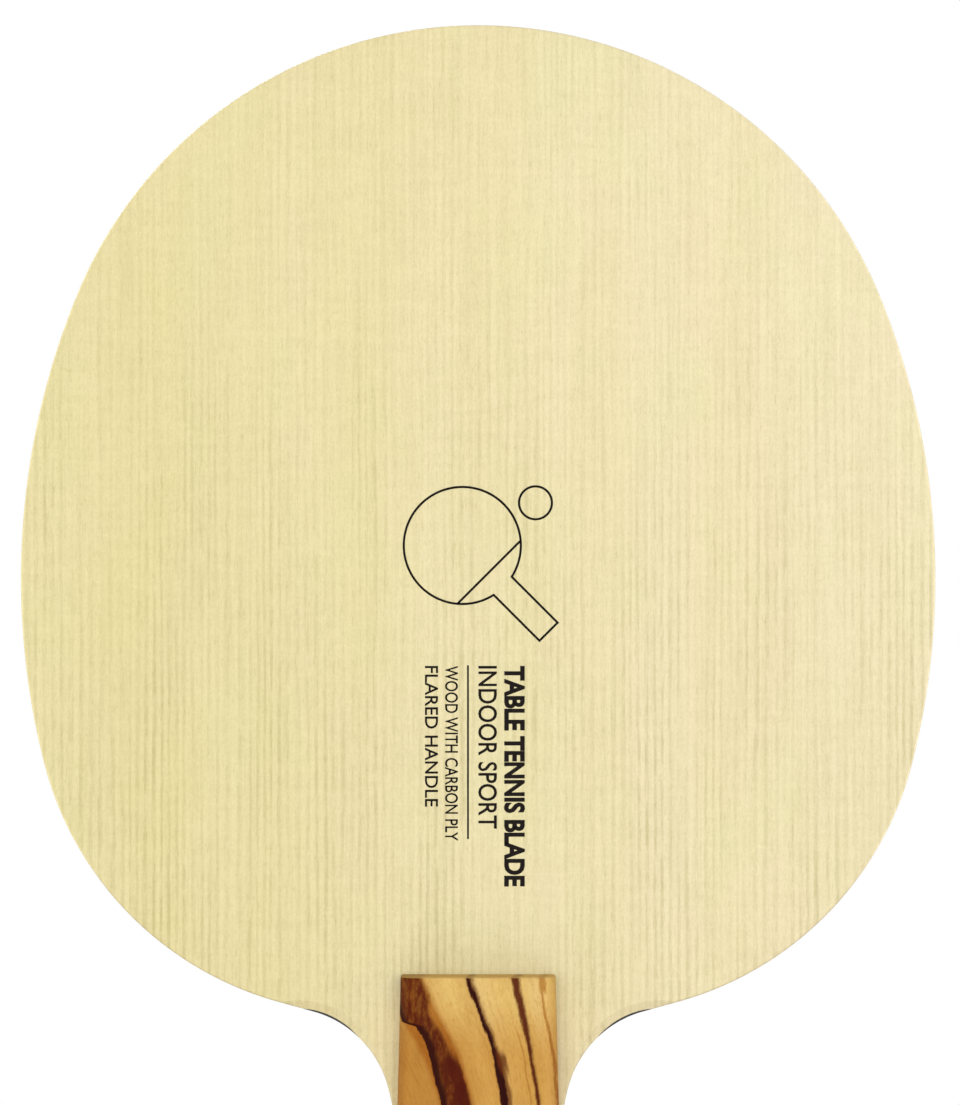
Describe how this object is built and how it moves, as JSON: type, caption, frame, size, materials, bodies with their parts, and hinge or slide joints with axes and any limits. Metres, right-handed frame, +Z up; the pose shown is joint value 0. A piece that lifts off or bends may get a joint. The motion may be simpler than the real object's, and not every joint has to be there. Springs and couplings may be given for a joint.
{
  "type": "table tennis paddle",
  "caption": "Bare table tennis blade: an egg-shaped veneer and carbon plate with a flared olive-wood handle and a small domed badge.",
  "frame": {"origin": "centre of the butt's flat end, at the foot of the handle", "axes": "+Z up the handle to the tip of the head, -Y out of the front face, +X to the right seen from the front"},
  "size_m": [0.15, 0.025, 0.2557],
  "materials": {
    "koto_veneer": "matt sanded pale yellow koto veneer with fine straight grain",
    "carbon_weave": "plain-woven carbon cloth set in resin, seen on edge",
    "inner_veneer": "sanded inner veneer, seen on edge",
    "kiri_core": "sanded light kiri core, seen on edge",
    "olive_wood": "satin oiled olive wood with dark veins",
    "print_ink": "thin dark brown screen print",
    "badge_resin": "gloss domed badge with a plain ring"
  },
  "bodies": {
    "root": {"outer_veneer_front": "koto_veneer", "carbon_sheet_front": "carbon_weave", "inner_veneer_front": "inner_veneer", "core": "kiri_core", "inner_veneer_back": "inner_veneer", "carbon_sheet_back": "carbon_weave", "outer_veneer_back": "koto_veneer", "handle_scale_front": "olive_wood", "handle_scale_back": "olive_wood", "handle_badge": "badge_resin"}
  },
  "joints": []
}
